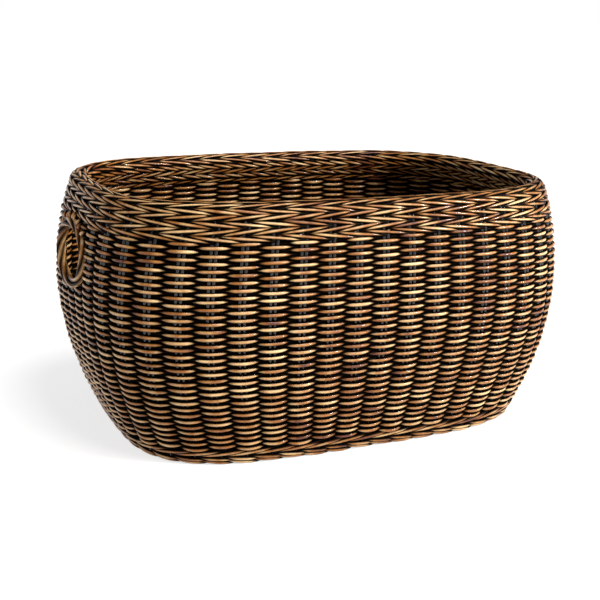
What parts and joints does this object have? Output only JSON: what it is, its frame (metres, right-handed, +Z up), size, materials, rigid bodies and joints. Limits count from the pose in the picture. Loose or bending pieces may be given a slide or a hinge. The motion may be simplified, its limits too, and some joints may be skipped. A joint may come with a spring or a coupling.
{
  "type": "wicker log basket",
  "caption": "Oblong bellied log basket of stained round rattan, with a thick herringbone rim and a bound hand hole in each end.",
  "frame": {"origin": "middle of the footprint, on the floor", "axes": "+X along the length, +Y to the back, +Z up"},
  "size_m": [0.7096, 0.486, 0.345],
  "materials": {
    "woven_rattan": "gloss",
    "stake_rattan": "gloss",
    "cane": "satin"
  },
  "bodies": {
    "root": {"base_rods": "cane", "base_weave": "woven_rattan", "foot_border": "woven_rattan", "upsett_wale": "woven_rattan", "lower_siding": "woven_rattan", "belly_siding": "woven_rattan", "front_siding": "woven_rattan", "back_siding": "woven_rattan", "chain_wale_1": "woven_rattan", "chain_wale_2": "woven_rattan", "chain_wale_3": "woven_rattan", "rolled_border": "woven_rattan", "front_stakes": "stake_rattan", "back_stakes": "stake_rattan", "left_stakes": "stake_rattan", "left_short_stakes_below_hole": "stake_rattan", "left_short_stakes_above_hole": "stake_rattan", "right_stakes": "stake_rattan", "right_short_stakes_below_hole": "stake_rattan", "right_short_stakes_above_hole": "stake_rattan", "rim_hoop": "cane", "left_hand_hole_wrap": "woven_rattan", "right_hand_hole_wrap": "woven_rattan", "left_hand_hole_hoop": "cane", "right_hand_hole_hoop": "cane"}
  },
  "joints": []
}
